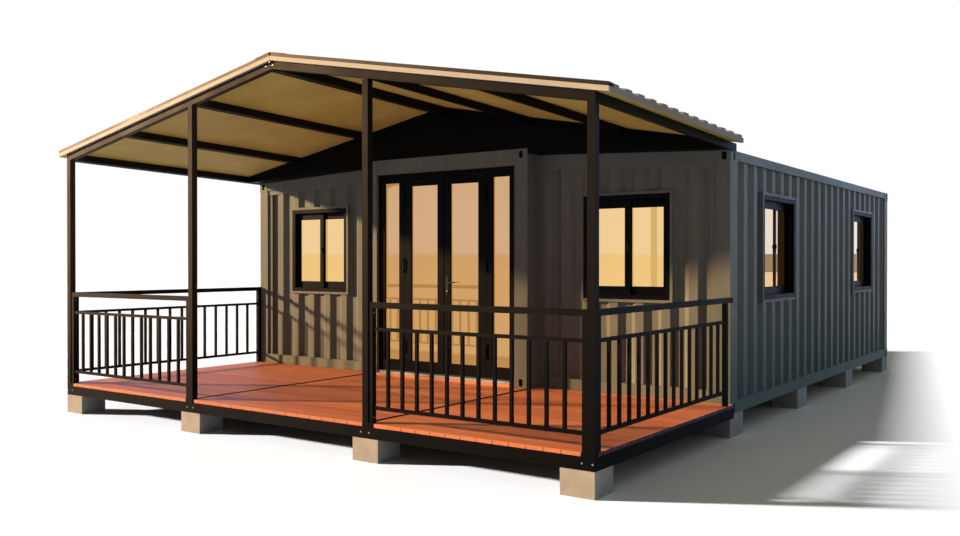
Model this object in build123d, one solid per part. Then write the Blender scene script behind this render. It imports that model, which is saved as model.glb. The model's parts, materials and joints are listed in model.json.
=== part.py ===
from build123d import *
import os
from math import atan, cos, degrees, radians

# Expandable container cabin with a covered timber porch, in millimetres.
# X runs along the front, Y runs back into the house and Z is the height above the ground.
# The origin is on the ground, under the middle of the whole building.

os.makedirs("parts", exist_ok=True)

# Overall sizes
PORCH_WIDTH = 6562
PORCH_DEPTH = 2513
PORCH_OVERHANG = 38
MODULE_WIDTH = 2270
MODULE_REVEAL = 217
WING_LENGTH = 6755
WING_TOP = 2708
WING_FALL = 0.045
MODULE_TOP = 2850
BASE_Z = 220

# Deck
DECK_PIER = 280
DECK_PIER_HEIGHT = 195
DECK_BEAM_HEIGHT = 95
DECK_BEAM_WIDTH = 50
BOARD_THICKNESS = 32
BOARD_COUNT = 18
BOARD_GROOVE = 6
BOARD_SETBACK = 10
PANEL_GAP = 6
BOARD_END_GAP = 8

# Porch posts and railings
POST = 62
INNER_POST_X = 1140
BOARD_CLEARANCE = 4
RAIL_HEIGHT = 1000
TOP_RAIL = 47
MID_RAIL_TOP = 793
LOW_RAIL_TOP = 143
SLIM_RAIL = 28
STILE = 45
BALUSTER = 25
FRONT_BALUSTERS = 12
SIDE_BALUSTERS = 14
RIGHT_STILE_GAP = 125
LEFT_STILE_GAP = 6

# Porch roof
EAVE_UNDERSIDE = 2780
ROOF_SLOPE = 0.19
ROOF_OVERRUN = 127
ROOF_LIP = 30
ROOF_HALF = 3400
RAFTER_DEPTH = 72
RAFTER_WIDTH = 60
PURLIN_WIDTH = 60
PURLIN_SPACING = 1130
RIDGE_WIDTH = 100
RIDGE_DROP = 16
PANEL_THICKNESS = 38
SHEET_THICKNESS = 5
RIB_HEIGHT = 22
RIB_COUNT = 13
RIB_FOOT = 0.2
RIB_CREST = 0.3
RIDGE_CAP_HALF = 190
RIDGE_CAP_THICKNESS = 9
RIDGE_GAP = 1
INFILL_THICKNESS = 40
INFILL_FLANGE = 20
BEAM_BEARING = 60
BEAM_SEAT = 3

# Wing frames and walls
CORNER_WIDTH = 140
CORNER_DEPTH = 190
WALL_SETBACK = 22
SIDE_RAIL_TOP_HEIGHT = 88
SIDE_RAIL_BASE_HEIGHT = 115
FRONT_RAIL_HEIGHT = 105
FRONT_LIP_HEIGHT = 60
FRONT_LIP_SETBACK = 14
FRONT_BASE_HEIGHT = 215
FLOOR_TOP = 391
FLOOR_THICKNESS = 80
CORRUGATION_PITCH = 284
CORRUGATION_DEPTH = 42
RECESS_SLOPE = 55
RECESS_FLAT = 82
FIRST_RECESS = 77
END_FLANGE = 67
WING_ROOF_THICKNESS = 60
WING_ROOF_SINK = 34
WING_ROOF_RIB = 16
WING_RIB_WIDTH = 28
WING_RIB_PITCH = 360
ROOF_RISE = 0.2
ROOF_CREST = 0.5
ROOF_FALL = 0.7
CASTING_HEIGHT = 118
CASTING_PROUD = 4
CASTING_HOLE = (50, 80)
CASTING_HOLE_DEPTH = 42
CASTING_HOLE_SHIFT = 10
TOP_HOLE_DROP = 50
LOW_HOLE_RISE = 55

# Central module and its glazed door
JAMB_WIDTH = 164
HEAD_HEIGHT = 170
SILL_HEIGHT = 131
MODULE_SIDE_RAIL = 60
MODULE_RAIL_HEIGHT = 150
MODULE_ROOF_THICKNESS = 40
MODULE_ROOF_SINK = 20
DOOR_SETBACK = 40
DOOR_FRAME_DEPTH = 60
THRESHOLD_HEIGHT = 40
THRESHOLD_PROUD = 25
LEAF_WIDTH = 570
LEAF_GAP = 12
LEAF_CLEARANCE = 7
LEAF_THICKNESS = 44
LEAF_STILE = 84
LEAF_HINGE_STILE = 100
LEAF_BOTTOM_RAIL = 112
LEAF_TOP_RAIL = 80
HINGE_GAP = 5
HINGE_RADIUS = 8
HINGE_LENGTH = 110
HINGE_PIN = 4
HINGE_STAND_OFF = 2
KNUCKLE_LENGTH = 26
KNUCKLE_GAP = 0.4
RUNNING_CLEARANCE = 0.1
HINGE_HEIGHTS = (279, 1220, 1993)
FRAME_HEAD = 55
SIDELIGHT_STILE = 75
SIDELIGHT_JAMB = 89
SIDELIGHT_TOP_RAIL = 40
GLASS = 8
HANDLE_HEIGHT = 1029
SPINDLE = 5
LEVER_LENGTH = 135
LEVER_STAND_OFF = 42
LEVER_THICKNESS = 14
LEVER_HUB = 8.5
HUB_CLEARANCE = 8
CUT_PAST = 1

# Sliding windows
FRONT_WINDOW = (1015, 1108)
SIDE_WINDOW = (1140, 1136)
WINDOW_CENTRE_Z = 1806
FRONT_WINDOW_X = 2155
SIDE_WINDOW_FROM_END = 1525
WINDOW_TRIM = 28
WINDOW_PROUD = 17
WINDOW_FACE = 46
FACE_SETBACK = 5
SASH_STILE = 52
SASH_RAIL = 76
SASH_THICKNESS = 28
OUTER_TRACK = 38
TRACK_GAP = 4

# House piers
HOUSE_PIER = (290, 350)
HOUSE_PIER_BAYS = 3

# Places worked out from the sizes above
HOUSE_WIDTH = PORCH_WIDTH - 2 * PORCH_OVERHANG
TOTAL_LENGTH = ROOF_LIP + PORCH_DEPTH + 2 * MODULE_REVEAL + WING_LENGTH + CASTING_PROUD
DECK_Y = ROOF_LIP - TOTAL_LENGTH / 2
MODULE_Y = DECK_Y + PORCH_DEPTH
WING_Y = MODULE_Y + MODULE_REVEAL
WING_END_Y = WING_Y + WING_LENGTH
HOUSE_MID_Y = WING_Y + WING_LENGTH / 2
HALF_DECK = PORCH_WIDTH / 2
HALF_HOUSE = HOUSE_WIDTH / 2
HALF_MODULE = MODULE_WIDTH / 2
HALF_DOORWAY = HALF_MODULE - JAMB_WIDTH
DECK_BEAM_TOP = DECK_PIER_HEIGHT + DECK_BEAM_HEIGHT
DECK_TOP = DECK_BEAM_TOP + BOARD_THICKNESS
OUTER_POST_X = HALF_DECK - POST / 2
WALL_INNER_X = HALF_HOUSE - CORNER_WIDTH
WALL_THICKNESS = CORNER_WIDTH - WALL_SETBACK
PORTAL_DEPTH = MODULE_REVEAL + CORNER_WIDTH
SILL_TOP = BASE_Z + SILL_HEIGHT
DOOR_HEAD_Z = MODULE_TOP - HEAD_HEIGHT
DOOR_Y = MODULE_Y + DOOR_SETBACK
LEAF_BOTTOM = FLOOR_TOP + LEAF_CLEARANCE
LEAF_TOP = DOOR_HEAD_Z - FRAME_HEAD - LEAF_CLEARANCE
HINGE_X = LEAF_GAP / 2 + LEAF_WIDTH + HINGE_GAP
HINGE_Y = DOOR_Y - HINGE_RADIUS - HINGE_STAND_OFF
ROOF_DEPTH = PORCH_DEPTH + ROOF_OVERRUN
ROOF_LOW = ROOF_LIP - RIDGE_GAP
RECESS = 2 * RECESS_SLOPE + RECESS_FLAT
LIFT = 2000
ROOF_FALL_ANGLE = degrees(atan((EAVE_UNDERSIDE - WING_TOP + BEAM_SEAT) / (WING_Y + BEAM_BEARING - DECK_Y)))
ROOF_SLOPE_ANGLE = degrees(atan(ROOF_SLOPE))
ROOF_PLACE = Pos(0, DECK_Y, EAVE_UNDERSIDE) * Rot(-ROOF_FALL_ANGLE, 0, 0)


# Shared helpers

def block(x, y, z):
    """A box from its low and high X, Y and Z."""
    size = [pair[1] - pair[0] for pair in (x, y, z)]
    centre = [(pair[1] + pair[0]) / 2 for pair in (x, y, z)]
    return Pos(*centre) * Box(*size)


def prism_x(points, x):
    """An outline in Y and Z, pulled along X."""
    plane = Plane(origin=(x[0], 0, 0), x_dir=(0, 1, 0), z_dir=(1, 0, 0))
    return extrude(plane * make_face(Polyline(*points, close=True)), amount=x[1] - x[0], dir=(1, 0, 0))


def prism_y(points, y):
    """An outline in X and Z, pulled along Y."""
    plane = Plane(origin=(0, y[0], 0), x_dir=(1, 0, 0), z_dir=(0, -1, 0))
    return extrude(plane * make_face(Polyline(*points, close=True)), amount=y[1] - y[0], dir=(0, 1, 0))


def prism_z(points, z):
    """An outline in X and Y, pulled up along Z."""
    return Pos(0, 0, z[0]) * extrude(make_face(Polyline(*points, close=True)), amount=z[1] - z[0])


def mirror_x(shape):
    """The same piece on the other side of the building."""
    return mirror(shape, about=Plane.YZ)


def mirror_y(shape):
    """The same piece at the other end of the house."""
    return mirror(shape, about=Plane(origin=(0, HOUSE_MID_Y, 0), x_dir=(1, 0, 0), z_dir=(0, 1, 0)))


def both_sides(shape):
    return [shape, mirror_x(shape)]


def four_corners(shape):
    return both_sides(shape) + both_sides(mirror_y(shape))


def save(name, shapes):
    solids = [solid for shape in shapes for solid in shape.solids()]
    export_step(solids[0] if len(solids) == 1 else Compound(solids), f"parts/{name}.step")


def evenly(low, high, count):
    """Centres of count pieces set evenly between two faces."""
    step = (high - low) / (count + 1)
    return [low + step * (i + 1) for i in range(count)]


# Deck: block piers, steel beams and joists, three board panels

def deck_pier(x, y):
    return block((x, x + DECK_PIER), (y, y + DECK_PIER), (0, DECK_PIER_HEIGHT))


def deck_piers():
    inner = deck_pier(INNER_POST_X - DECK_PIER / 2, DECK_Y)
    outer = deck_pier(HALF_DECK - DECK_PIER, DECK_Y)
    return both_sides(inner) + both_sides(outer)


def deck_beams():
    """The front beam, and the rear beams that bolt to the wings and to the central module."""
    z = (DECK_PIER_HEIGHT, DECK_BEAM_TOP)
    seam = DECK_BEAM_WIDTH / 2
    front = block((-HALF_DECK, HALF_DECK), (DECK_Y, DECK_Y + DECK_BEAM_WIDTH), z)
    module = block((seam - INNER_POST_X, INNER_POST_X - seam), (MODULE_Y - DECK_BEAM_WIDTH, MODULE_Y), z)
    wing = block((INNER_POST_X + seam, HALF_DECK), (WING_Y - DECK_BEAM_WIDTH, WING_Y), z)
    return [front, module] + both_sides(wing - wing_corner_post())


def deck_joist(x, y_high):
    half = DECK_BEAM_WIDTH / 2
    return block((x - half, x + half), (DECK_Y + DECK_BEAM_WIDTH, y_high), (DECK_PIER_HEIGHT, DECK_BEAM_TOP))


def deck_joists():
    """Joists under the side edges, the panel seams and between, running front to back."""
    edge = HALF_DECK - DECK_BEAM_WIDTH / 2
    joists = [deck_joist(0, MODULE_Y - DECK_BEAM_WIDTH)]
    module = block((0, HALF_MODULE), (MODULE_Y, WING_Y), (0, DECK_TOP))
    joists += both_sides(deck_joist(INNER_POST_X, WING_Y) - module)
    for x in ((INNER_POST_X + edge) / 2, edge):
        joists += both_sides(deck_joist(x, WING_Y - DECK_BEAM_WIDTH))
    return joists


def board_panel(x_low, x_high, y_high):
    """One panel of boards that run along X, with a groove between neighbours."""
    y_low = DECK_Y + BOARD_SETBACK
    pitch = (WING_Y - BOARD_END_GAP - y_low) / BOARD_COUNT
    depth = BOARD_THICKNESS / 2
    outline = [(y_low, DECK_BEAM_TOP), (y_low, DECK_TOP)]
    for i in range(1, BOARD_COUNT):
        y = y_low + i * pitch
        if y + pitch / 2 < y_high:
            outline += [(y - BOARD_GROOVE / 2, DECK_TOP), (y - BOARD_GROOVE / 2, DECK_TOP - depth)]
            outline += [(y + BOARD_GROOVE / 2, DECK_TOP - depth), (y + BOARD_GROOVE / 2, DECK_TOP)]
    outline += [(y_high, DECK_TOP), (y_high, DECK_BEAM_TOP)]
    return prism_x(outline, (x_low, x_high))


def deck_boards():
    seam = PANEL_GAP / 2
    post_holes = [block((x - POST / 2 - BOARD_CLEARANCE, x + POST / 2 + BOARD_CLEARANCE),
                        (DECK_Y, DECK_Y + POST + BOARD_CLEARANCE), (DECK_BEAM_TOP, DECK_TOP))
                  for x in (INNER_POST_X, OUTER_POST_X)]
    side = board_panel(INNER_POST_X + seam, HALF_DECK, WING_Y - BOARD_END_GAP)
    centre = board_panel(-INNER_POST_X + seam, INNER_POST_X - seam, MODULE_Y - BOARD_END_GAP)
    for hole in post_holes:
        side -= hole
        centre -= hole
        centre -= mirror_x(hole)
    return both_sides(side) + [centre]


# Porch posts and railings

def roof_line(x):
    """Height of the rafters' underside in the roof's own frame."""
    return ROOF_SLOPE * (HALF_DECK - POST - abs(x))


def above_rafters(x_high, y):
    """Everything over the rafters' underside, for cutting what stands beneath it."""
    outline = [(-x_high, roof_line(x_high)), (0, roof_line(0)), (x_high, roof_line(x_high)),
               (x_high, LIFT), (-x_high, LIFT)]
    return ROOF_PLACE * prism_y(outline, y)


def porch_posts():
    cutter = above_rafters(HALF_DECK + POST, (-POST, 2 * POST))
    z = (DECK_BEAM_TOP, DECK_TOP + 2 * LIFT)
    posts = []
    for x in (INNER_POST_X, OUTER_POST_X):
        post = block((x - POST / 2, x + POST / 2), (DECK_Y, DECK_Y + POST), z)
        posts += both_sides(post - cutter)
    return posts


def railing(length, balusters, reach=0):
    """A railing along X from zero, its foot at zero and its top rail running on past the last stile."""
    half = STILE / 2
    panel = block((0, length + reach), (-half, half), (RAIL_HEIGHT - TOP_RAIL, RAIL_HEIGHT))
    panel += block((0, STILE), (-half, half), (0, RAIL_HEIGHT - TOP_RAIL))
    panel += block((length - STILE, length), (-half, half), (0, RAIL_HEIGHT - TOP_RAIL))
    for top in (MID_RAIL_TOP, LOW_RAIL_TOP):
        panel += block((STILE, length - STILE), (-SLIM_RAIL / 2, SLIM_RAIL / 2), (top - SLIM_RAIL, top))
    for x in evenly(STILE, length - STILE, balusters):
        panel += block((x - BALUSTER / 2, x + BALUSTER / 2), (-BALUSTER / 2, BALUSTER / 2),
                       (LOW_RAIL_TOP, MID_RAIL_TOP - SLIM_RAIL))
    return panel


def front_railing():
    start = INNER_POST_X + POST / 2
    end = OUTER_POST_X - POST / 2
    return Pos(start, DECK_Y + POST / 2, DECK_TOP) * railing(end - start, FRONT_BALUSTERS)


def side_railing(gap):
    """A side railing whose last stile stands off the house by a gap that only the top rail crosses."""
    start = DECK_Y + POST
    panel = railing(WING_Y - gap - start, SIDE_BALUSTERS, gap)
    return Pos(OUTER_POST_X, start, DECK_TOP) * Rot(0, 0, 90) * panel


# Porch roof, drawn level in its own frame and then tipped back by the fall angle

def sloped_bar(x_low, x_high, y, drop=0, depth=RAFTER_DEPTH):
    """A bar whose top and bottom follow the roof's slope, with plumb sides."""
    outline = [(x_low, roof_line(x_low) - drop), (x_high, roof_line(x_high) - drop),
               (x_high, roof_line(x_high) + depth), (x_low, roof_line(x_low) + depth)]
    return prism_y(outline, y)


def rafters():
    front = sloped_bar(RIDGE_GAP, HALF_DECK, (0, RAFTER_WIDTH))
    rear = sloped_bar(RIDGE_GAP, HALF_DECK - POST, (PORCH_DEPTH, PORCH_DEPTH + RAFTER_WIDTH))
    return [ROOF_PLACE * bar for bar in both_sides(front) + both_sides(rear)]


def ridge_beam():
    half = RIDGE_WIDTH / 2
    low = roof_line(0) - RIDGE_DROP
    outline = [(-half, low), (half, low), (half, roof_line(half) + RAFTER_DEPTH),
               (0, roof_line(0) + RAFTER_DEPTH), (-half, roof_line(half) + RAFTER_DEPTH)]
    return ROOF_PLACE * prism_y(outline, (RAFTER_WIDTH, PORCH_DEPTH))


def purlins():
    """Two purlins a side and the eave beams, which run on to bear on the wings' corners."""
    bars = []
    half = PURLIN_WIDTH / 2
    for x in (PURLIN_SPACING, 2 * PURLIN_SPACING):
        bars += both_sides(sloped_bar(x - half, x + half, (RAFTER_WIDTH, PORCH_DEPTH)))
    eave_end = WING_Y + BEAM_BEARING - DECK_Y
    bars += both_sides(sloped_bar(HALF_DECK - POST, HALF_DECK, (RAFTER_WIDTH, eave_end)))
    seat = wing_corner_post()
    return [ROOF_PLACE * bar - seat - mirror_x(seat) for bar in bars]


def roof_layer(bottom, top, y):
    """One slope's layer between two heights over the rafters' underside."""
    near, far = roof_line(RIDGE_GAP), roof_line(ROOF_HALF)
    outline = [(RIDGE_GAP, near + bottom), (ROOF_HALF, far + bottom),
               (ROOF_HALF, far + top), (RIDGE_GAP, near + top)]
    return ROOF_PLACE * prism_y(outline, y)


def roof_panels():
    return both_sides(roof_layer(RAFTER_DEPTH, RAFTER_DEPTH + PANEL_THICKNESS, (0, ROOF_DEPTH)))


def roof_edge_trim():
    return both_sides(roof_layer(RAFTER_DEPTH, RAFTER_DEPTH + PANEL_THICKNESS, (-ROOF_LOW, 0)))


def roof_sheet():
    """The ribbed steel sheet of one slope, with ribs that run from ridge to eave."""
    pitch = (ROOF_DEPTH + ROOF_LOW) / RIB_COUNT
    crest = SHEET_THICKNESS + RIB_HEIGHT
    outline = [(-ROOF_LOW, 0), (-ROOF_LOW, SHEET_THICKNESS)]
    for i in range(RIB_COUNT):
        start, end = -ROOF_LOW + i * pitch, -ROOF_LOW + (i + 1) * pitch
        outline += [(start + RIB_FOOT * pitch, SHEET_THICKNESS), (start + RIB_CREST * pitch, crest)]
        outline += [(end - RIB_CREST * pitch, crest), (end - RIB_FOOT * pitch, SHEET_THICKNESS)]
    outline += [(ROOF_DEPTH, SHEET_THICKNESS), (ROOF_DEPTH, 0)]
    length = ROOF_HALF / cos(radians(ROOF_SLOPE_ANGLE))
    top = roof_line(0) + RAFTER_DEPTH + PANEL_THICKNESS
    return ROOF_PLACE * Pos(0, 0, top) * Rot(0, ROOF_SLOPE_ANGLE, 0) * prism_x(outline, (RIDGE_GAP, length))


def ridge_cap():
    """A folded capping that lies on the ribs along the ridge."""
    rise = (SHEET_THICKNESS + RIB_HEIGHT) / cos(radians(ROOF_SLOPE_ANGLE))
    low = roof_line(0) + RAFTER_DEPTH + PANEL_THICKNESS + rise
    drop = ROOF_SLOPE * RIDGE_CAP_HALF
    outline = [(-RIDGE_CAP_HALF, low - drop), (0, low), (RIDGE_CAP_HALF, low - drop),
               (RIDGE_CAP_HALF, low - drop + RIDGE_CAP_THICKNESS), (0, low + RIDGE_CAP_THICKNESS),
               (-RIDGE_CAP_HALF, low - drop + RIDGE_CAP_THICKNESS)]
    return ROOF_PLACE * prism_y(outline, (-ROOF_LOW, ROOF_DEPTH))


def gable_infill():
    """The boarded triangle over the house front, with flanges that close down onto the wings' end rails."""
    outer = HALF_DECK - POST
    wing_low, step = rail_top(outer), rail_top(HALF_MODULE)
    outline = [(-outer, wing_low), (-HALF_MODULE, step), (-HALF_MODULE, MODULE_TOP),
               (HALF_MODULE, MODULE_TOP), (HALF_MODULE, step), (outer, wing_low),
               (outer, 2 * LIFT), (-outer, 2 * LIFT)]
    plate = prism_y(outline, (MODULE_Y, MODULE_Y + INFILL_THICKNESS))
    plate -= above_rafters(HALF_DECK, (PORCH_DEPTH - INFILL_THICKNESS, PORCH_DEPTH + 2 * INFILL_THICKNESS))
    flange = sloped_end_bar(-INFILL_FLANGE, 0, (MODULE_Y, WING_Y + CORNER_WIDTH))
    return plate + flange + mirror_x(flange) - ridge_beam()


# House: piers, base rails, floor

def house_piers():
    """A row of block piers under each side and under each end of the central module."""
    width, depth = HOUSE_PIER
    step = (WING_LENGTH - depth) / HOUSE_PIER_BAYS
    piers = []
    for i in range(HOUSE_PIER_BAYS + 1):
        y = WING_Y + i * step
        piers += both_sides(block((HALF_HOUSE - width, HALF_HOUSE), (y, y + depth), (0, BASE_Z)))
    end = block((HALF_MODULE - width, HALF_MODULE), (MODULE_Y, MODULE_Y + depth), (0, BASE_Z))
    return piers + four_corners(end)


def base_rails():
    """The bottom rails of the wings and the sills of the central module."""
    side = block((WALL_INNER_X, HALF_HOUSE), (WING_Y + CORNER_DEPTH, WING_END_Y - CORNER_DEPTH),
                 (BASE_Z, BASE_Z + SIDE_RAIL_BASE_HEIGHT))
    front = block((HALF_MODULE, WALL_INNER_X), (WING_Y, WING_Y + CORNER_WIDTH),
                  (BASE_Z, BASE_Z + FRONT_BASE_HEIGHT))
    sill = block((-HALF_DOORWAY, HALF_DOORWAY), (MODULE_Y, MODULE_Y + CORNER_WIDTH), (BASE_Z, SILL_TOP))
    return both_sides(side) + four_corners(front) + [sill, mirror_y(sill)]


def house_floor():
    z = (FLOOR_TOP - FLOOR_THICKNESS, FLOOR_TOP)
    slab = block((-WALL_INNER_X, WALL_INNER_X), (WING_Y + CORNER_WIDTH, WING_END_Y - CORNER_WIDTH), z)
    strip = block((-HALF_DOORWAY, HALF_DOORWAY),
                  (MODULE_Y + CORNER_WIDTH, 2 * HOUSE_MID_Y - MODULE_Y - CORNER_WIDTH), z)
    return slab + strip


# House: corner posts with castings, module posts, heads and top rails

def casting_hole():
    """An upright hole with cut corners whose mouth faces -Y."""
    x, z = CASTING_HOLE[0] / 2, CASTING_HOLE[1] / 2
    corner = x / 2
    outline = [(-x, corner - z), (corner - x, -z), (x - corner, -z), (x, corner - z),
               (x, z - corner), (x - corner, z), (corner - x, z), (-x, z - corner)]
    return prism_y(outline, (-CASTING_HOLE_DEPTH, CASTING_HOLE_DEPTH))


def corner_with_castings(x, y, z, hole_zs):
    """A post with a slightly proud block at each end, holed on the faces that look out."""
    post = block(x, y, z)
    middle_x, middle_y = (x[0] + x[1]) / 2 + CASTING_HOLE_SHIFT, (y[0] + y[1]) / 2
    for low, hole_z in hole_zs:
        proud = (x[0], x[1] + CASTING_PROUD), (y[0] - CASTING_PROUD, y[1]), (low, low + CASTING_HEIGHT)
        post += block(*proud)
        post -= Pos(middle_x, y[0], hole_z) * casting_hole()
        post -= Pos(x[1], middle_y, hole_z) * Rot(0, 0, 90) * casting_hole()
    return post


def wing_corner_post():
    top = WING_TOP - CASTING_HEIGHT
    holes = ((top, WING_TOP - TOP_HOLE_DROP), (BASE_Z, BASE_Z + LOW_HOLE_RISE))
    return corner_with_castings((WALL_INNER_X, HALF_HOUSE), (WING_Y, WING_Y + CORNER_DEPTH),
                                (BASE_Z, WING_TOP), holes)


def module_post():
    post = block((HALF_DOORWAY, HALF_MODULE), (MODULE_Y, MODULE_Y + PORTAL_DEPTH), (BASE_Z, MODULE_TOP))
    for low in (DECK_TOP, MODULE_TOP - CASTING_HEIGHT):
        post += block((HALF_DOORWAY, HALF_MODULE), (MODULE_Y - CASTING_PROUD, MODULE_Y + PORTAL_DEPTH),
                      (low, low + CASTING_HEIGHT))
        post -= Pos(HALF_DOORWAY + JAMB_WIDTH / 2, MODULE_Y, low + CASTING_HEIGHT / 2) * casting_hole()
    return post


def module_heads():
    head = block((-HALF_DOORWAY, HALF_DOORWAY), (MODULE_Y, MODULE_Y + PORTAL_DEPTH),
                 (DOOR_HEAD_Z, MODULE_TOP))
    return [head, mirror_y(head)]


def rail_top(x):
    """Height of a wing's sloping end rail, which falls from the module to the corner post."""
    return WING_TOP + WING_FALL * (WALL_INNER_X - x)


def sloped_end_bar(high, low, y, x=(HALF_MODULE, WALL_INNER_X)):
    """A bar across a wing's end between two drops under its sloping top line."""
    outline = [(x[0], rail_top(x[0]) - low), (x[1], rail_top(x[1]) - low),
               (x[1], rail_top(x[1]) - high), (x[0], rail_top(x[0]) - high)]
    return prism_y(outline, y)


def top_rails():
    """The wings' top rails, with a set-back lip over the corrugated ends, and the module's side rails."""
    side = block((WALL_INNER_X, HALF_HOUSE), (WING_Y + CORNER_DEPTH, WING_END_Y - CORNER_DEPTH),
                 (WING_TOP - SIDE_RAIL_TOP_HEIGHT, WING_TOP))
    end = sloped_end_bar(0, FRONT_RAIL_HEIGHT, (WING_Y, WING_Y + CORNER_WIDTH))
    end += sloped_end_bar(FRONT_RAIL_HEIGHT, FRONT_RAIL_HEIGHT + FRONT_LIP_HEIGHT,
                          (WING_Y + FRONT_LIP_SETBACK, WING_Y + CORNER_WIDTH))
    module = block((HALF_MODULE - MODULE_SIDE_RAIL, HALF_MODULE),
                   (MODULE_Y + PORTAL_DEPTH, 2 * HOUSE_MID_Y - MODULE_Y - PORTAL_DEPTH),
                   (MODULE_TOP - MODULE_RAIL_HEIGHT, MODULE_TOP))
    return both_sides(side) + four_corners(end) + both_sides(module)


# House: corrugated walls

def corrugated_panel(width, z, first, pitch, flange):
    """A wall along X from zero, flat inside, with pressed recesses outside that stop at the end flange."""
    outline = [(0, 0)]
    start, end = first, width - flange
    while start + RECESS_SLOPE < end:
        outline += [(start, 0), (start + RECESS_SLOPE, CORRUGATION_DEPTH)]
        if start + RECESS > end:
            outline += [(end, CORRUGATION_DEPTH), (end, 0)]
        else:
            outline += [(start + RECESS - RECESS_SLOPE, CORRUGATION_DEPTH), (start + RECESS, 0)]
        start += pitch
    outline += [(width, 0), (width, WALL_THICKNESS), (0, WALL_THICKNESS)]
    return prism_z(outline, z)


def even_panel(width, z):
    """A corrugated wall whose recesses are spaced evenly from end to end."""
    pitch = width / round(width / CORRUGATION_PITCH)
    return corrugated_panel(width, z, (pitch - RECESS) / 2, pitch, 0)


def window_hole(size):
    return Box(size[0], 4 * WALL_THICKNESS, size[1])


def front_window_places():
    y = WING_Y + WALL_SETBACK
    return [Pos(x, y, WINDOW_CENTRE_Z) for x in (FRONT_WINDOW_X, -FRONT_WINDOW_X)]


def side_window_places():
    x = HALF_HOUSE - WALL_SETBACK
    ys = (WING_Y + SIDE_WINDOW_FROM_END, WING_END_Y - SIDE_WINDOW_FROM_END)
    return [Pos(x, y, WINDOW_CENTRE_Z) * Rot(0, 0, 90) for y in ys]


def front_wall():
    low = BASE_Z + FRONT_BASE_HEIGHT
    width = WALL_INNER_X - HALF_MODULE
    panel = corrugated_panel(width, (low, MODULE_TOP), FIRST_RECESS, CORRUGATION_PITCH, END_FLANGE)
    panel = Pos(HALF_MODULE, WING_Y + WALL_SETBACK, 0) * panel
    panel -= sloped_end_bar(-MODULE_TOP, FRONT_RAIL_HEIGHT + FRONT_LIP_HEIGHT,
                            (WING_Y, WING_Y + CORNER_WIDTH), (HALF_DOORWAY, HALF_HOUSE))
    return panel - front_window_places()[0] * window_hole(FRONT_WINDOW)


def side_wall():
    z = (BASE_Z + SIDE_RAIL_BASE_HEIGHT, WING_TOP - SIDE_RAIL_TOP_HEIGHT)
    length = WING_LENGTH - 2 * CORNER_DEPTH
    panel = Pos(HALF_HOUSE - WALL_SETBACK, WING_Y + CORNER_DEPTH, 0) * Rot(0, 0, 90) * even_panel(length, z)
    for place in side_window_places():
        panel -= place * window_hole(SIDE_WINDOW)
    return panel


def rear_centre_wall():
    panel = even_panel(2 * HALF_DOORWAY, (SILL_TOP, DOOR_HEAD_Z))
    return mirror_y(Pos(-HALF_DOORWAY, MODULE_Y + WALL_SETBACK, 0) * panel)


# House: roofs

def module_roof():
    """A pressed steel roof between the module's side rails, with ribs from side to side."""
    low = MODULE_Y + PORTAL_DEPTH
    high = 2 * HOUSE_MID_Y - low
    top = MODULE_TOP - MODULE_ROOF_SINK
    base = top - MODULE_ROOF_THICKNESS
    count = round((high - low) / CORRUGATION_PITCH)
    pitch = (high - low) / count
    outline = [(low, base)]
    for i in range(count):
        start = low + i * pitch
        outline += [(start, top - WING_ROOF_RIB), (start + ROOF_RISE * pitch, top)]
        outline += [(start + ROOF_CREST * pitch, top), (start + ROOF_FALL * pitch, top - WING_ROOF_RIB)]
    outline += [(high, top - WING_ROOF_RIB), (high, base)]
    half = HALF_MODULE - MODULE_SIDE_RAIL
    return prism_x(outline, (-half, half))


def wing_roof():
    """An insulated roof panel with standing ribs that run down to the wing's outer rail."""
    y = (WING_Y + CORNER_WIDTH, WING_END_Y - CORNER_WIDTH)
    low = WING_ROOF_SINK + WING_ROOF_THICKNESS
    panel = sloped_end_bar(WING_ROOF_SINK, low, y)
    half = WING_RIB_WIDTH / 2
    for rib_y in evenly(*y, round((y[1] - y[0]) / WING_RIB_PITCH)):
        panel += sloped_end_bar(WING_ROOF_SINK - WING_ROOF_RIB, WING_ROOF_SINK, (rib_y - half, rib_y + half))
    return panel


# Windows: a deep frame with two sliding sashes on their tracks

def ring(width, height, depth, stile, rail):
    """A rectangular frame round the origin, its front at Y zero."""
    outer = Pos(0, depth / 2, 0) * Box(width, depth, height)
    return outer - Pos(0, depth / 2, 0) * Box(width - 2 * stile, 2 * depth, height - 2 * rail)


def window_trim(size):
    """The steel surround that lines the hole in the wall and stands proud of it."""
    depth = WALL_THICKNESS + WINDOW_PROUD
    return Pos(0, -WINDOW_PROUD, 0) * ring(size[0], size[1], depth, WINDOW_TRIM, WINDOW_TRIM)


def sash_layout(size):
    """The sashes' common width and height, and the centre and track depth of each."""
    inner = size[0] - 2 * WINDOW_TRIM - 2 * WINDOW_FACE
    width = inner / 2 + SASH_STILE / 2
    shift = (inner - width) / 2
    inner_track = OUTER_TRACK + SASH_THICKNESS + TRACK_GAP
    height = size[1] - 2 * WINDOW_TRIM - 2 * WINDOW_FACE
    return width, height, ((-shift, OUTER_TRACK), (shift, inner_track))


def window_frame(size):
    front = FACE_SETBACK - WINDOW_PROUD
    frame = Pos(0, front, 0) * ring(size[0] - 2 * WINDOW_TRIM, size[1] - 2 * WINDOW_TRIM,
                                    WALL_THICKNESS - front, WINDOW_FACE, WINDOW_FACE)
    width, height, sashes = sash_layout(size)
    for x, y in sashes:
        frame += Pos(x, y, 0) * ring(width, height, SASH_THICKNESS, SASH_STILE, SASH_RAIL)
    return frame


def window_panes(size):
    width, height, sashes = sash_layout(size)
    pane = Box(width - 2 * SASH_STILE, GLASS, height - 2 * SASH_RAIL)
    return [Pos(x, y + SASH_THICKNESS / 2, 0) * pane for x, y in sashes]


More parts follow.
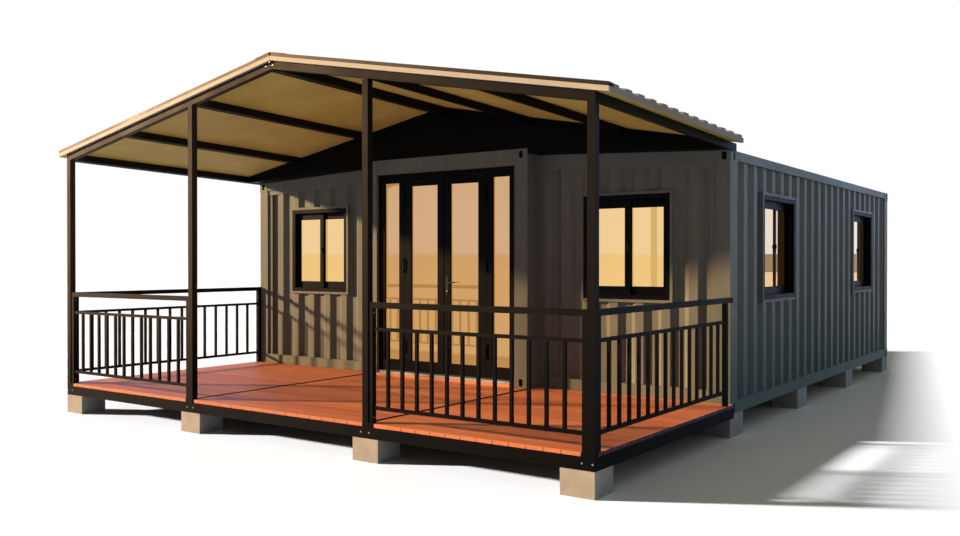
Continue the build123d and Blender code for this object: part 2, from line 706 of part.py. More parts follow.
def at_front(shape):
    return [place * shape for place in front_window_places()]


def at_rear(shape):
    return [mirror_y(placed) for placed in at_front(shape)]


def at_sides(shape):
    return [one for place in side_window_places() for one in both_sides(place * shape)]


def window_trims():
    front, side = window_trim(FRONT_WINDOW), window_trim(SIDE_WINDOW)
    return at_front(front) + at_rear(front) + at_sides(side)


def window_glass():
    panes = []
    for pane in window_panes(FRONT_WINDOW):
        panes += at_front(pane) + at_rear(pane)
    for pane in window_panes(SIDE_WINDOW):
        panes += at_sides(pane)
    return panes


# Glazed door: fixed sidelights, head, threshold and two leaves that open outward

def upright(radius, low, length):
    """A round bar on the right-hand leaf's hinge line."""
    return Pos(HINGE_X, HINGE_Y, low) * extrude(Circle(radius), amount=length)


def hinge_spans():
    """The low and high ends of each hinge barrel on a leaf."""
    middles = [LEAF_BOTTOM + height for height in HINGE_HEIGHTS]
    return [(middle - HINGE_LENGTH / 2, middle + HINGE_LENGTH / 2) for middle in middles]


def frame_hinge(low, high):
    """A pin with a knuckle at each end, which a leaf's barrel turns on."""
    hinge = upright(HINGE_PIN, low - KNUCKLE_LENGTH, high - low + 2 * KNUCKLE_LENGTH)
    for start in (low - KNUCKLE_LENGTH - KNUCKLE_GAP, high + KNUCKLE_GAP):
        hinge += upright(HINGE_RADIUS, start, KNUCKLE_LENGTH)
        hinge += block((HINGE_X, HINGE_X + 3 * HINGE_RADIUS), (HINGE_Y, DOOR_Y),
                       (start, start + KNUCKLE_LENGTH))
    return hinge


def door_sidelight():
    """A fixed glazed frame beside the leaves, whose inner stile carries the hinge pins."""
    frame = block((HINGE_X, HALF_DOORWAY), (DOOR_Y, DOOR_Y + DOOR_FRAME_DEPTH),
                  (FLOOR_TOP, DOOR_HEAD_Z - FRAME_HEAD))
    x, z = sidelight_opening()
    frame -= block(x, (DOOR_Y - CUT_PAST, DOOR_Y + DOOR_FRAME_DEPTH + CUT_PAST), z)
    for low, high in hinge_spans():
        frame += frame_hinge(low, high)
    return frame


def sidelight_opening():
    x = (HINGE_X + SIDELIGHT_STILE, HALF_DOORWAY - SIDELIGHT_JAMB)
    z = (LEAF_BOTTOM + LEAF_BOTTOM_RAIL, DOOR_HEAD_Z - FRAME_HEAD - SIDELIGHT_TOP_RAIL)
    return x, z


def sidelight_pane():
    x, z = sidelight_opening()
    middle = DOOR_Y + DOOR_FRAME_DEPTH / 2
    return block(x, (middle - GLASS / 2, middle + GLASS / 2), z)


def door_head():
    return block((-HALF_DOORWAY, HALF_DOORWAY), (DOOR_Y, DOOR_Y + DOOR_FRAME_DEPTH),
                 (DOOR_HEAD_Z - FRAME_HEAD, DOOR_HEAD_Z))


def door_threshold():
    """A metal threshold with a weathered nose, from jamb to jamb."""
    y_low = DOOR_Y - THRESHOLD_PROUD
    y_high = MODULE_Y + CORNER_WIDTH
    nose = THRESHOLD_HEIGHT / 3
    outline = [(y_low, SILL_TOP), (y_high, SILL_TOP), (y_high, FLOOR_TOP), (DOOR_Y, FLOOR_TOP),
               (y_low, FLOOR_TOP - nose)]
    return prism_x(outline, (-HALF_DOORWAY, HALF_DOORWAY))


def leaf_opening():
    x = (LEAF_GAP / 2 + LEAF_STILE, LEAF_GAP / 2 + LEAF_WIDTH - LEAF_HINGE_STILE)
    z = (LEAF_BOTTOM + LEAF_BOTTOM_RAIL, LEAF_TOP - LEAF_TOP_RAIL)
    return x, z


def door_leaf():
    """The right-hand leaf, with its hinge barrels standing off its outer face."""
    edge = LEAF_GAP / 2 + LEAF_WIDTH
    leaf = block((LEAF_GAP / 2, edge), (DOOR_Y, DOOR_Y + LEAF_THICKNESS), (LEAF_BOTTOM, LEAF_TOP))
    x, z = leaf_opening()
    leaf -= block(x, (DOOR_Y - CUT_PAST, DOOR_Y + LEAF_THICKNESS + CUT_PAST), z)
    for low, high in hinge_spans():
        leaf += upright(HINGE_RADIUS, low, HINGE_LENGTH)
        leaf += block((edge - 3 * HINGE_RADIUS, HINGE_X), (HINGE_Y, HINGE_Y + HINGE_PIN), (low, high))
        leaf += block((edge - 3 * HINGE_RADIUS, edge), (HINGE_Y, DOOR_Y), (low, high))
        leaf -= upright(HINGE_PIN + RUNNING_CLEARANCE, low, HINGE_LENGTH)
    return leaf


def leaf_pane():
    x, z = leaf_opening()
    middle = DOOR_Y + LEAF_THICKNESS / 2
    return block(x, (middle - GLASS / 2, middle + GLASS / 2), z)


def handle_centre():
    return LEAF_GAP / 2 + LEAF_STILE / 2, DOOR_Y + LEAF_THICKNESS / 2, LEAF_BOTTOM + HANDLE_HEIGHT


def along_y(radius, low, high):
    """A round bar along Y between two places."""
    return Pos(0, high, 0) * Rot(90, 0, 0) * extrude(Circle(radius), amount=high - low)


def spindle_hole():
    x, y, z = handle_centre()
    reach = LEAF_THICKNESS
    return Pos(x, y, z) * along_y(SPINDLE + RUNNING_CLEARANCE, -reach, reach)


def door_handle():
    """A spindle through the leaf with a turned hub and a rounded lever on each side."""
    x, y, z = handle_centre()
    outer = LEAF_THICKNESS / 2 + LEVER_STAND_OFF
    handle = along_y(SPINDLE, -outer, outer)
    lever = extrude(SlotOverall(LEVER_LENGTH, LEVER_THICKNESS), amount=LEVER_THICKNESS)
    lever = Rot(90, 0, 0) * Pos(LEVER_LENGTH / 2 - LEVER_THICKNESS / 2, 0, 0) * lever
    hub = along_y(LEVER_HUB, -outer, -LEAF_THICKNESS / 2 - HUB_CLEARANCE)
    one_side = hub + Pos(0, -outer + LEVER_THICKNESS, 0) * lever
    handle += one_side
    handle += mirror(one_side, about=Plane.XZ)
    return Pos(x, y, z) * handle


# Writing the pieces

save("deck_piers", deck_piers())
save("deck_beams", deck_beams())
save("deck_joists", deck_joists())
save("deck_boards", deck_boards())
save("porch_posts", porch_posts())
save("railing_front_right", [front_railing()])
save("railing_front_left", [mirror_x(front_railing())])
save("railing_side_right", [side_railing(RIGHT_STILE_GAP)])
save("railing_side_left", [mirror_x(side_railing(LEFT_STILE_GAP))])
save("rafters", rafters())
save("ridge_beam", [ridge_beam()])
save("purlins", purlins())
save("roof_panels", roof_panels())
save("roof_edge_trim", roof_edge_trim())
save("roof_sheets", both_sides(roof_sheet()))
save("ridge_cap", [ridge_cap()])
save("gable_infill", [gable_infill()])

save("house_piers", house_piers())
save("base_rails", base_rails())
save("house_floor", [house_floor()])
save("wing_corner_posts", four_corners(wing_corner_post()))
save("module_posts", four_corners(module_post()))
save("module_heads", module_heads())
save("top_rails", top_rails())
save("front_walls", both_sides(front_wall()))
save("rear_walls", both_sides(mirror_y(front_wall())))
save("rear_centre_wall", [rear_centre_wall()])
save("side_wall_right", [side_wall()])
save("side_wall_left", [mirror_x(side_wall())])
save("module_roof", [module_roof()])
save("wing_roofs", both_sides(wing_roof()))

save("window_trims", window_trims())
save("front_window_frames", at_front(window_frame(FRONT_WINDOW)))
save("rear_window_frames", at_rear(window_frame(FRONT_WINDOW)))
save("side_window_frames", at_sides(window_frame(SIDE_WINDOW)))
save("window_glass", window_glass())

save("door_sidelights", both_sides(door_sidelight()))
save("sidelight_glass", both_sides(sidelight_pane()))
save("door_head", [door_head()])
save("door_threshold", [door_threshold()])
save("door_leaf_right", [door_leaf() - spindle_hole()])
save("door_leaf_left", [mirror_x(door_leaf())])
save("door_glass_right", [leaf_pane()])
save("door_glass_left", [mirror_x(leaf_pane())])
save("door_handle", [door_handle()])
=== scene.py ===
import json
import math
import bmesh
import bpy
from mathutils import Matrix, Vector


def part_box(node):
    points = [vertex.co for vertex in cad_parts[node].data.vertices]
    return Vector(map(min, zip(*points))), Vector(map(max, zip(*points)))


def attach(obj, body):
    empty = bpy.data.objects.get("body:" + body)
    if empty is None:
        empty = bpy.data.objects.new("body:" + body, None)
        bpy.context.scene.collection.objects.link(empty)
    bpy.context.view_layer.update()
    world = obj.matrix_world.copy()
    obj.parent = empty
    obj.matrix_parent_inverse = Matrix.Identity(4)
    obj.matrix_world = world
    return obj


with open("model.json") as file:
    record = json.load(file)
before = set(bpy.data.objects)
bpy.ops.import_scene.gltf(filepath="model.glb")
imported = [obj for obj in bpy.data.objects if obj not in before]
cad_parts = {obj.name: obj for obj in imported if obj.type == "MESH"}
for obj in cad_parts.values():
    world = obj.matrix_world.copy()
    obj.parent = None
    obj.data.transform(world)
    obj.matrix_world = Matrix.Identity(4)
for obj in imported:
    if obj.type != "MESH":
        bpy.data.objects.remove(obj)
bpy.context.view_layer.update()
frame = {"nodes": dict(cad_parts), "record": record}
NODES = frame["nodes"]

# Places in metres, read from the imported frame
DECK_LOW, DECK_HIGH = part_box("deck_boards")
DECK_BASE, DECK_TOP = DECK_LOW[2], DECK_HIGH[2]
DECK_FRONT, HALF_DECK = DECK_LOW[1], DECK_HIGH[0]
BEAM_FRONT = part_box("deck_beams")[0][1]
RAFTER_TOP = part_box("rafters")[1][2]
GLASS_LOW, GLASS_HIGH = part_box("door_glass_right")
SIDE_GLASS_LOW, SIDE_GLASS_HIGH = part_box("sidelight_glass")

# Places and sizes in metres, the same as in the part's source
WING_FRONT = -2.108
MODULE_FRONT = -2.325
HOUSE_MID_Y = 1.2695
HALF_HOUSE = 3.243
HALF_DOORWAY = 0.971
WALL_FACE = 0.022
INNER_POST_X = 1.14
POST = 0.062
STILE = 0.045
RAIL_TOP = 1.322
DECK_SEAM_X = INNER_POST_X
BOARD_COUNT = 18
BOARD_PITCH = (WING_FRONT - 0.008 - DECK_FRONT) / BOARD_COUNT
SILL_TOP = 0.351
DOOR_Y = -2.285
LEAF_THICKNESS = 0.044
WINDOW_Z = 1.806
FRONT_WINDOW = (1.015, 1.108)
SIDE_WINDOW = (1.140, 1.136)
FRONT_WINDOW_X = 2.155
SIDE_WINDOW_FROM_END = 1.525
WINDOW_TRIM = 0.028
WINDOW_FACE = 0.046
SASH_STILE = 0.052
SASH_RAIL = 0.076
TRACKS = (0.038, 0.070)
OUTER_POST_FACE = 3.219
RAFTER_DEPTH = 0.072
LINING_THICKNESS = 0.038
ROOF_SLOPE = 0.19
ROOF_FALL = math.atan(0.075 / 2.79)
ROOF_SEAT = Matrix.Translation((0, -4.838, 2.78)) @ Matrix.Rotation(-ROOF_FALL, 4, "X")
SHEET_BASE = ROOF_SLOPE * OUTER_POST_FACE + RAFTER_DEPTH + LINING_THICKNESS

# Limits that only the materials use, in metres
LINED_X = 3.1035
LINED_Y = (-1.9685, 4.5075)
CEILING_Z = 2.6
RAKE_Y = -4.79
DOOR_GLASS_TO_Y = -2.2
FRONT_GLASS_TO_X = 3.12
EAVE_EDGE_X = 3.396


# Node helpers

def node(tree, kind, inputs=None, **settings):
    made = tree.nodes.new("ShaderNode" + kind)
    for key, value in settings.items():
        setattr(made, key, value)
    for key, value in (inputs or {}).items():
        if isinstance(value, bpy.types.NodeSocket):
            tree.links.new(value, made.inputs[key])
        else:
            made.inputs[key].default_value = value
    return made


def maths(tree, operation, a, b=0.0):
    return node(tree, "Math", {0: a, 1: b}, operation=operation).outputs[0]


def times(tree, a, b):
    return maths(tree, "MULTIPLY", a, b)


def above(tree, value, limit):
    """One where the value is over the limit, and zero elsewhere."""
    return maths(tree, "GREATER_THAN", value, limit)


def below(tree, value, limit):
    return maths(tree, "LESS_THAN", value, limit)


def magnitude(tree, value):
    return maths(tree, "ABSOLUTE", value)


def weigh(tree, first, share, second, other_share):
    """The sum of two values, each times its share."""
    return maths(tree, "ADD", times(tree, first, share), times(tree, second, other_share))


def mix(tree, factor, a, b):
    a, b = (value if isinstance(value, bpy.types.NodeSocket) else (*value, 1) for value in (a, b))
    return node(tree, "Mix", {0: factor, 6: a, 7: b}, data_type="RGBA").outputs[2]


def place(tree):
    """The point on the object, which is the same as its place in the frame at rest."""
    return node(tree, "TexCoord").outputs["Object"]


def facing(tree):
    """The X, Y and Z of the way the surface faces."""
    return axes(tree, node(tree, "NewGeometry").outputs["Normal"])


def scaled(tree, vector, scale):
    return node(tree, "Mapping", {"Vector": vector, "Scale": scale}).outputs[0]


def noise(tree, vector, scale, detail=4.0, roughness=0.55):
    inputs = {"Vector": vector, "Scale": scale, "Detail": detail, "Roughness": roughness}
    return node(tree, "TexNoise", inputs).outputs["Fac"]


def spread(tree, value, low, high, to_low=0.0, to_high=1.0):
    """The value taken from one range to another, and held at its ends."""
    inputs = {"Value": value, "From Min": low, "From Max": high, "To Min": to_low, "To Max": to_high}
    return node(tree, "MapRange", inputs).outputs[0]


def ramp(tree, factor, *stops):
    made = node(tree, "ValToRGB", {"Fac": factor})
    points = made.color_ramp.elements
    while len(points) < len(stops):
        points.new(0.5)
    for point, (where, tint) in zip(points, stops):
        point.position = where
        point.color = (*tint, 1)
    return made.outputs[0]


def axes(tree, vector):
    return node(tree, "SeparateXYZ", {0: vector}).outputs


def combined(tree, x, y, z=0.0):
    return node(tree, "CombineXYZ", {0: x, 1: y, 2: z}).outputs[0]


def bump(tree, shader, height, strength, distance):
    made = node(tree, "Bump", {"Height": height, "Strength": strength, "Distance": distance})
    tree.links.new(made.outputs[0], shader.inputs["Normal"])


def surface(name, **constants):
    """A new material and its shader, with its constant values on the shader's own sockets."""
    made = bpy.data.materials.new(name)
    made.use_nodes = True
    shader = made.node_tree.nodes["Principled BSDF"]
    for key, value in constants.items():
        shader.inputs[key.replace("_", " ")].default_value = value
    return made, made.node_tree, shader


def colour(tree, shader, value):
    tree.links.new(value, shader.inputs["Base Color"])


def shine(tree, shader, pattern, smooth, rough):
    """Roughness that follows a noise pattern, whose values lie mostly between 0.3 and 0.7."""
    tree.links.new(spread(tree, pattern, 0.3, 0.7, smooth, rough), shader.inputs["Roughness"])


# Materials

def painted_steel(name, dark, light, lining):
    """Sprayed steel with run-off streaks, a pale brown soiled foot, painted shade that darkens and greens
    the foot of the right side, painted light towards the rear, and a lining indoors.
    """
    made, tree, shader = surface(name, Specular_IOR_Level=0.07)
    point = place(tree)
    x, y, z = axes(tree, point)
    cloud = noise(tree, point, 1.3, 5.0)
    streak = noise(tree, scaled(tree, point, (9.0, 9.0, 0.5)), 1.6, 5.0)
    base = ramp(tree, weigh(tree, cloud, 0.55, streak, 0.45), (0.3, dark), (0.7, light))
    on_right = spread(tree, x, 2.9, 3.2)
    dust_and_painted_light = times(tree, spread(tree, z, 0.75, 0.22), spread(tree, streak, 0.35, 0.75))
    dust_and_painted_light = times(tree, dust_and_painted_light, spread(tree, on_right, 0.0, 1.0, 0.25, 0.0))
    base = mix(tree, dust_and_painted_light, base, (0.24, 0.19, 0.14))
    # Painted shade: the right side turns darker and greener towards its foot.
    painted_shade_right = times(tree, spread(tree, z, 1.7, 0.3, 0.0, 0.62), on_right)
    base = mix(tree, painted_shade_right, base, (0.06, 0.125, 0.118))
    # Painted light: the steel turns paler towards the rear.
    painted_light_rear = spread(tree, y, 1.0, 4.8, 0.0, 0.14)
    base = mix(tree, painted_light_rear, base, (0.5, 0.45, 0.4))
    ceiling = below(tree, facing(tree)[2], -0.5)
    inside = maths(tree, "MAXIMUM", ceiling, below(tree, z, CEILING_Z))
    for bound in (below(tree, magnitude(tree, x), LINED_X), above(tree, y, LINED_Y[0]),
                  below(tree, y, LINED_Y[1])):
        inside = times(tree, inside, bound)
    colour(tree, shader, mix(tree, inside, base, lining))
    shine(tree, shader, cloud, 0.4, 0.56)
    orange_peel = noise(tree, point, 420.0, 2.0)
    dents = noise(tree, point, 4.5, 2.0)
    bump(tree, shader, weigh(tree, orange_peel, 0.08, dents, 1.0), 0.18, 0.004)
    return made


def black_metal(name, dark, light, dust_and_painted_light, smooth, rough):
    """Powder-coated metal, with painted light lightening the porch front towards the left, and painted
    shade darkest near the ground and the house.
    """
    made, tree, shader = surface(name, Specular_IOR_Level=0.035)
    point = place(tree)
    x, y, z = axes(tree, point)
    cloud = noise(tree, point, 2.4, 6.0, 0.6)
    speck = noise(tree, point, 60.0, 3.0)
    base = ramp(tree, weigh(tree, cloud, 0.75, speck, 0.25), (0.32, dark), (0.7, light))
    # Painted light: the porch front, most of all on its left, takes a lighter, browner tint.
    painted_light_left = times(tree, spread(tree, y, -4.7, -4.6, 1.0, 0.25), spread(tree, x, 1.5, -3.2, 0.0, 1.2))
    base = mix(tree, times(tree, painted_light_left, 0.75), base, dust_and_painted_light)
    # Painted shade: near black towards the ground and by the house.
    painted_shade_low = spread(tree, z, 1.9, 0.32, 0.0, 0.95)
    painted_shade_by_house = spread(tree, y, -2.6, -2.4, 0.0, 0.9)
    base = mix(tree, maths(tree, "MAXIMUM", painted_shade_low, painted_shade_by_house), base, (0.0008, 0.0007, 0.0006))
    colour(tree, shader, base)
    shine(tree, shader, cloud, smooth, rough)
    bump(tree, shader, noise(tree, point, 600.0, 2.0), 0.12, 0.001)
    return made


def timber_boards(name):
    """Terracotta boards that run along X, each its own shade, with a fine long grain, painted shade on
    their undersides and painted light on their end faces.
    """
    made, tree, shader = surface(name, Specular_IOR_Level=0.14)
    point = place(tree)
    x, y, _ = axes(tree, point)
    row = maths(tree, "FLOOR", maths(tree, "DIVIDE", maths(tree, "SUBTRACT", y, DECK_FRONT), BOARD_PITCH))
    panel = maths(tree, "ADD", above(tree, x, DECK_SEAM_X), above(tree, x, -DECK_SEAM_X))
    shade = node(tree, "TexWhiteNoise", {"Vector": combined(tree, row, panel)}).outputs["Value"]
    shifted = combined(tree, x, y, times(tree, shade, 7.0))
    grain = noise(tree, scaled(tree, shifted, (1.0, 26.0, 1.0)), 3.2, 8.0, 0.62)
    fibre = noise(tree, scaled(tree, shifted, (3.0, 160.0, 1.0)), 2.6, 4.0, 0.6)
    cloud = noise(tree, point, 1.1, 4.0)
    tone = weigh(tree, weigh(tree, grain, 0.5, fibre, 0.3), 1.0, cloud, 0.2)
    base = ramp(tree, tone, (0.3, (0.4, 0.122, 0.061)), (0.48, (0.61, 0.22, 0.112)),
                (0.7, (0.77, 0.315, 0.172)))
    base = mix(tree, times(tree, shade, 0.6), base, (0.33, 0.085, 0.05))
    faces = facing(tree)
    outermost = above(tree, magnitude(tree, x), HALF_DECK - 0.004)
    side_edge = times(tree, above(tree, magnitude(tree, faces[0]), 0.6), outermost)
    base = mix(tree, side_edge, base, (0.05, 0.022, 0.03))
    # Painted shade on the boards' undersides.
    painted_shade_under = below(tree, faces[2], -0.5)
    base = mix(tree, painted_shade_under, base, (0.045, 0.034, 0.03))
    # Painted light on the end faces, which face front and back.
    painted_light_ends = above(tree, magnitude(tree, faces[1]), 0.6)
    base = mix(tree, times(tree, painted_light_ends, 0.2), base, (0.75, 0.33, 0.17))
    colour(tree, shader, base)
    shine(tree, shader, grain, 0.48, 0.68)
    bump(tree, shader, weigh(tree, grain, 0.5, fibre, 0.5), 0.35, 0.0025)
    return made


def cast_concrete(name):
    """Pale block concrete with a mottled face and small air holes."""
    made, tree, shader = surface(name)
    point = place(tree)
    cloud = noise(tree, point, 5.0, 7.0, 0.62)
    grit = noise(tree, point, 90.0, 4.0, 0.7)
    base = ramp(tree, cloud, (0.3, (0.228, 0.226, 0.226)), (0.55, (0.3, 0.3, 0.3)),
                (0.75, (0.36, 0.36, 0.36)))
    holes = node(tree, "TexVoronoi", {"Vector": point, "Scale": 55.0}).outputs["Distance"]
    pitted_patch = above(tree, noise(tree, point, 16.0, 2.0), 0.58)
    pits = times(tree, spread(tree, holes, 0.16, 0.06), pitted_patch)
    base = mix(tree, times(tree, pits, 0.55), base, (0.17, 0.15, 0.13))
    base = mix(tree, spread(tree, grit, 0.35, 0.75, 0.0, 0.25), base, (0.58, 0.54, 0.46))
    colour(tree, shader, base)
    shine(tree, shader, grit, 0.78, 0.95)
    bump(tree, shader, maths(tree, "SUBTRACT", weigh(tree, cloud, 0.8, grit, 1.0), pits), 0.5, 0.004)
    return made


def sheet_steel(name):
    """Grey-brown coated roofing, streaked down the fall, whose front rake is nearly black, browner with
    painted light on the left and blacker with painted shade on the right.
    """
    made, tree, shader = surface(name, Specular_IOR_Level=0.08)
    point = place(tree)
    x, y, _ = axes(tree, point)
    streak = noise(tree, scaled(tree, point, (0.6, 11.0, 1.0)), 2.0, 6.0, 0.6)
    cloud = noise(tree, point, 1.4, 4.0)
    tone = weigh(tree, streak, 0.6, cloud, 0.4)
    base = ramp(tree, tone, (0.3, (0.16, 0.142, 0.13)), (0.52, (0.23, 0.208, 0.19)),
                (0.72, (0.29, 0.265, 0.245)))
    # Painted light and shade on the rake: browner on the sunlit left, near black on the shaded right.
    rake = mix(tree, spread(tree, x, 0.2, -0.2), (0.012, 0.0095, 0.0095), (0.07, 0.043, 0.032))
    colour(tree, shader, mix(tree, below(tree, y, RAKE_Y), base, rake))
    shine(tree, shader, streak, 0.38, 0.56)
    bump(tree, shader, noise(tree, point, 38.0, 3.0), 0.12, 0.003)
    return made


def roof_lining(name):
    """Olive-tan lining with soft blotches, a faint joint every half metre, and painted shade that turns its
    edge at the eaves grey.
    """
    made, tree, shader = surface(name, Specular_IOR_Level=0.1)
    point = place(tree)
    x, y, _ = axes(tree, point)
    cloud = noise(tree, point, 1.8, 5.0, 0.6)
    fine = noise(tree, scaled(tree, point, (3.0, 40.0, 3.0)), 3.0, 5.0)
    tone = weigh(tree, cloud, 0.75, fine, 0.25)
    base = ramp(tree, tone, (0.3, (0.46, 0.37, 0.1)), (0.52, (0.58, 0.48, 0.14)), (0.74, (0.68, 0.59, 0.2)))
    half_metres = maths(tree, "FRACT", times(tree, y, 2.0))
    joint = below(tree, magnitude(tree, maths(tree, "SUBTRACT", half_metres, 0.5)), 0.006)
    base = mix(tree, times(tree, joint, 0.25), base, (0.3, 0.22, 0.1))
    # Painted shade: the edge at the eaves is grey.
    base = mix(tree, above(tree, magnitude(tree, x), EAVE_EDGE_X), base, (0.25, 0.23, 0.21))
    colour(tree, shader, base)
    shine(tree, shader, cloud, 0.5, 0.66)
    bump(tree, shader, maths(tree, "SUBTRACT", fine, joint), 0.15, 0.003)
    return made


def cream_paint(name):
    """Cream edging with faint run-off stains."""
    made, tree, shader = surface(name, Specular_IOR_Level=0.1)
    point = place(tree)
    cloud = noise(tree, point, 3.0, 6.0, 0.6)
    stain = noise(tree, scaled(tree, point, (1.0, 1.0, 14.0)), 4.0, 5.0)
    base = ramp(tree, cloud, (0.3, (0.35, 0.34, 0.32)), (0.7, (0.42, 0.41, 0.38)))
    base = mix(tree, spread(tree, stain, 0.58, 0.8, 0.0, 0.35), base, (0.48, 0.4, 0.3))
    colour(tree, shader, base)
    shine(tree, shader, cloud, 0.42, 0.58)
    bump(tree, shader, noise(tree, point, 220.0, 2.0), 0.1, 0.001)
    return made


def bronze_glass(name):
    """Mirror-like bronze glazing that reflects less at front and rear, where it has a painted warm glow,
    and a slight ripple.
    """
    made, tree, shader = surface(name, Metallic=1.0, Emission_Strength=1.0)
    point = place(tree)
    x, y, _ = axes(tree, point)
    on_side = above(tree, magnitude(tree, x), FRONT_GLASS_TO_X)
    film = noise(tree, point, 0.8, 3.0)
    front = ramp(tree, film, (0.35, (0.17, 0.112, 0.064)), (0.65, (0.195, 0.13, 0.076)))
    side = ramp(tree, film, (0.35, (0.72, 0.4, 0.135)), (0.65, (0.78, 0.45, 0.155)))
    colour(tree, shader, mix(tree, on_side, front, side))
    # Painted light: the panes glow warm, window panes brighter than door panes, side panes barely at all.
    in_window = above(tree, y, DOOR_GLASS_TO_Y)
    glow = mix(tree, in_window, (0.45, 0.225, 0.062), (0.67, 0.43, 0.14))
    glow = mix(tree, on_side, glow, (0.02, 0.01, 0.003))
    tree.links.new(glow, shader.inputs["Emission Color"])
    shine(tree, shader, film, 0.012, 0.024)
    bump(tree, shader, noise(tree, point, 2.2, 1.0), 0.02, 0.002)
    return made


def bare_metal(name, dark, light, smooth, rough):
    """Brushed metal with a faint bloom."""
    made, tree, shader = surface(name, Metallic=0.85)
    point = place(tree)
    brushed = noise(tree, scaled(tree, point, (2.0, 90.0, 90.0)), 4.0, 5.0)
    tone = weigh(tree, brushed, 0.5, noise(tree, point, 7.0, 4.0), 0.5)
    colour(tree, shader, ramp(tree, tone, (0.3, dark), (0.7, light)))
    shine(tree, shader, tone, smooth, rough)
    bump(tree, shader, brushed, 0.08, 0.001)
    return made


def plank_floor(name):
    """Warm vinyl planks inside the house."""
    plank_width, plank_length = 0.18, 1.2
    made, tree, shader = surface(name)
    x, y, _ = axes(tree, place(tree))
    row = maths(tree, "FLOOR", maths(tree, "DIVIDE", x, plank_width))
    jump = node(tree, "TexWhiteNoise", {"W": row}, noise_dimensions="1D").outputs["Value"]
    plank = maths(tree, "FLOOR", maths(tree, "ADD", maths(tree, "DIVIDE", y, plank_length), jump))
    shade = node(tree, "TexWhiteNoise", {"Vector": combined(tree, row, plank)}).outputs["Value"]
    shifted = combined(tree, x, y, times(tree, shade, 9.0))
    grain = noise(tree, scaled(tree, shifted, (30.0, 1.5, 1.0)), 2.5, 7.0, 0.6)
    base = ramp(tree, grain, (0.3, (0.2, 0.115, 0.06)), (0.7, (0.36, 0.23, 0.13)))
    colour(tree, shader, mix(tree, times(tree, shade, 0.4), base, (0.26, 0.16, 0.09)))
    shine(tree, shader, grain, 0.35, 0.5)
    bump(tree, shader, grain, 0.15, 0.001)
    return made


MATERIALS = {
    "charcoal_steel": painted_steel("charcoal_steel", (0.124, 0.138, 0.132), (0.172, 0.186, 0.176),
                                    (0.6, 0.58, 0.53)),
    # A black metal's fourth colour is its painted light tint for the porch front.
    "black_steel": black_metal("black_steel", (0.0036, 0.0032, 0.003), (0.0085, 0.0072, 0.0062),
                               (0.052, 0.038, 0.028), 0.46, 0.62),
    "window_black": black_metal("window_black", (0.0038, 0.0033, 0.0029), (0.0085, 0.007, 0.0058),
                                (0.006, 0.005, 0.004), 0.4, 0.52),
    "deck_boards": timber_boards("deck_boards"),
    "concrete": cast_concrete("concrete"),
    "roof_sheet": sheet_steel("roof_sheet"),
    "roof_lining": roof_lining("roof_lining"),
    "cream_trim": cream_paint("cream_trim"),
    "clear_glass": bronze_glass("clear_glass"),
    "threshold": bare_metal("threshold", (0.2, 0.2, 0.2), (0.36, 0.355, 0.345), 0.34, 0.5),
    "handle_steel": bare_metal("handle_steel", (0.006, 0.005, 0.0045), (0.016, 0.0135, 0.0115), 0.32, 0.45),
    "floor": plank_floor("floor"),
}

for part in frame["record"]["subparts"]:
    piece = NODES[part["node"]]
    if not piece.material_slots:
        piece.data.materials.append(None)
    for holder in piece.material_slots:
        holder.material = MATERIALS[part["material_slot"]]


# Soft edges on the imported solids, by width in metres

SOFT_EDGES = {
    0.009: ("deck_piers", "house_piers"),
    0.005: ("wing_corner_posts", "module_posts", "front_walls", "rear_walls", "rear_centre_wall",
            "side_wall_right", "side_wall_left"),
    0.004: ("porch_posts", "module_heads", "top_rails", "base_rails"),
    0.003: ("deck_beams", "rafters", "purlins", "ridge_beam", "window_trims", "roof_edge_trim",
            "wing_roofs", "module_roof"),
    0.0025: ("railing_front_right", "railing_front_left", "railing_side_right", "railing_side_left"),
    0.002: ("front_window_frames", "rear_window_frames", "side_window_frames", "door_head",
            "door_threshold", "roof_sheets", "ridge_cap", "deck_boards"),
    0.0015: ("door_sidelights",),
}
for width, names in SOFT_EDGES.items():
    for name in names:
        soft = NODES[name].modifiers.new("soft_edges", "BEVEL")
        soft.width = width
        soft.segments = 2
        soft.limit_method = "ANGLE"
        soft.angle_limit = math.radians(20)


# Mesh helpers

